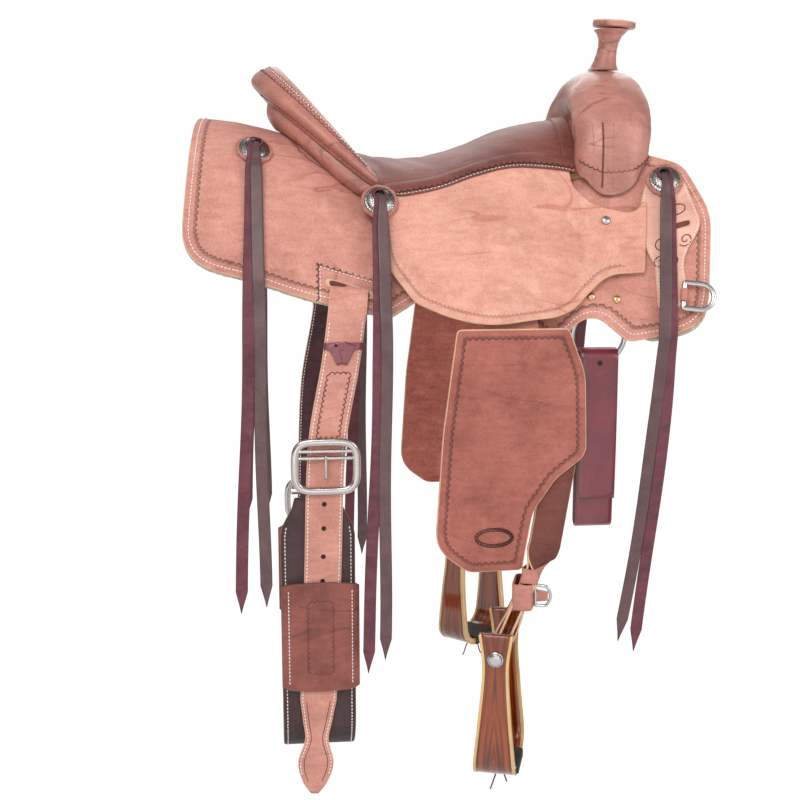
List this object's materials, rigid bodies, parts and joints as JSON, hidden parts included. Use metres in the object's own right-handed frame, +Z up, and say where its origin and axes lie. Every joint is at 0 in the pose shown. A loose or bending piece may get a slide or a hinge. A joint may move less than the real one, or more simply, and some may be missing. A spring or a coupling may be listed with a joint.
{
  "type": "cow horse saddle",
  "caption": "Western cow horse saddle with padded seat, leather-covered swell and horn, skirts over fleece, fenders, wooden stirrups, flank rigging and saddle strings.",
  "frame": {"origin": "on the middle plane between the bars, where the saddle sits on its rack", "axes": "+X forward to the horn, +Y to the near (left) side, +Z up"},
  "size_m": [0.7156, 0.6206, 1.0807],
  "materials": {
    "tree_wood": "matte",
    "swell_leather": "satin",
    "skirt_leather": "matte",
    "seat_leather": "satin",
    "roughout_leather": "matte",
    "fleece": "matte",
    "tooled_leather": "satin",
    "steel": "gloss",
    "lace_leather": "satin",
    "latigo_leather": "gloss",
    "cinch_leather": "matte",
    "fender_leather": "matte",
    "stirrup_wood": "gloss"
  },
  "bodies": {
    "saddle": {"tree_fork": "tree_wood", "tree_cantle": "tree_wood", "tree_bar_off": "tree_wood", "tree_bar_near": "tree_wood", "horn_wrap": "swell_leather", "horn_cap": "swell_leather", "swell_cover": "swell_leather", "cantle_back": "swell_leather", "cantle_roll": "swell_leather", "ground_seat": "skirt_leather", "skirt_off": "skirt_leather", "skirt_near": "skirt_leather", "seat_pad": "seat_leather", "seat_jockey_off": "roughout_leather", "seat_jockey_near": "roughout_leather", "fleece_lining_off": "fleece", "fleece_lining_near": "fleece", "front_keeper_off": "tooled_leather", "front_keeper_near": "tooled_leather", "concho_rear_off": "steel", "concho_rear_near": "steel", "concho_middle_off": "steel", "concho_middle_near": "steel", "concho_front_off": "steel", "concho_front_near": "steel", "rigging_ring_off": "steel", "rigging_ring_near": "steel", "saddle_strings_rear_off": "lace_leather", "saddle_strings_rear_near": "lace_leather", "saddle_strings_middle_off": "lace_leather", "saddle_strings_middle_near": "lace_leather", "saddle_strings_front_off": "lace_leather", "saddle_strings_front_near": "lace_leather"},
    "dee_off": {"breast_dee_off": "steel"},
    "dee_near": {"breast_dee_near": "steel"},
    "off_strap": {"off_billet": "latigo_leather"},
    "near_strap": {"near_latigo": "latigo_leather"},
    "flank_rigging": {"flank_billet_off": "skirt_leather", "flank_billet_near": "skirt_leather", "flank_buckle_off": "steel", "flank_buckle_near": "steel", "flank_cinch": "cinch_leather", "cinch_keeper_off": "skirt_leather", "cinch_keeper_near": "skirt_leather"},
    "leather_off": {"upper_leather_off": "fender_leather"},
    "fender_off": {"fender_off": "fender_leather", "stirrup_loop_off": "fender_leather", "hobble_strap_off": "skirt_leather", "hobble_buckle_off": "steel"},
    "stirrup_off": {"stirrup_off": "stirrup_wood", "stirrup_bolt_off": "steel", "stirrup_tread_off": "cinch_leather"},
    "leather_near": {"upper_leather_near": "fender_leather"},
    "fender_near": {"fender_near": "fender_leather", "stirrup_loop_near": "fender_leather", "hobble_strap_near": "skirt_leather", "hobble_buckle_near": "steel"},
    "stirrup_near": {"stirrup_near": "stirrup_wood", "stirrup_bolt_near": "steel", "stirrup_tread_near": "cinch_leather"}
  },
  "joints": [
    {"name": "dee_off_lift", "type": "hinge", "parent": "saddle", "child": "dee_off", "pos_m": [0.30206, -0.23049, -0.05818], "axis": [-0.1468, -0.3736, -0.9159], "range_deg": [0, 100]},
    {"name": "dee_near_lift", "type": "hinge", "parent": "saddle", "child": "dee_near", "pos_m": [0.30206, 0.23049, -0.05818], "axis": [0.1468, -0.3736, 0.9159], "range_deg": [0, 100]},
    {"name": "off_strap_swing", "type": "hinge", "parent": "saddle", "child": "off_strap", "pos_m": [0.192, -0.2045, -0.116], "axis": [0, -1, 0], "range_deg": [-8, 8]},
    {"name": "near_strap_swing", "type": "hinge", "parent": "saddle", "child": "near_strap", "pos_m": [0.192, 0.2045, -0.116], "axis": [0, -1, 0], "range_deg": [-8, 8]},
    {"name": "flank_swing", "type": "hinge", "parent": "saddle", "child": "flank_rigging", "pos_m": [-0.147, 0, -0.045], "axis": [0, 1, 0], "range_deg": [0, 8]},
    {"name": "fender_off_swing", "type": "hinge", "parent": "saddle", "child": "leather_off", "pos_m": [0.066, -0.1432, 0.048], "axis": [0, -0.8355, 0.5495], "range_deg": [-6, 6]},
    {"name": "fender_off_lift", "type": "hinge", "parent": "leather_off", "child": "fender_off", "pos_m": [0.066, -0.2435, -0.099], "axis": [-1, 0, 0], "range_deg": [0, 60]},
    {"name": "fender_near_swing", "type": "hinge", "parent": "saddle", "child": "leather_near", "pos_m": [0.066, 0.1432, 0.048], "axis": [0, -0.8355, -0.5495], "range_deg": [-6, 6]},
    {"name": "fender_near_lift", "type": "hinge", "parent": "leather_near", "child": "fender_near", "pos_m": [0.066, 0.2435, -0.099], "axis": [1, 0, 0], "range_deg": [0, 60]},
    {"name": "stirrup_off_swing", "type": "hinge", "parent": "fender_off", "child": "stirrup_off", "pos_m": [0.057, -0.2445, -0.54], "axis": [-0.2924, -0.9563, 0], "range_deg": [-30, 30]},
    {"name": "stirrup_near_swing", "type": "hinge", "parent": "fender_near", "child": "stirrup_near", "pos_m": [0.092, 0.2445, -0.54], "axis": [-0.682, -0.7314, 0], "range_deg": [-30, 30]}
  ]
}
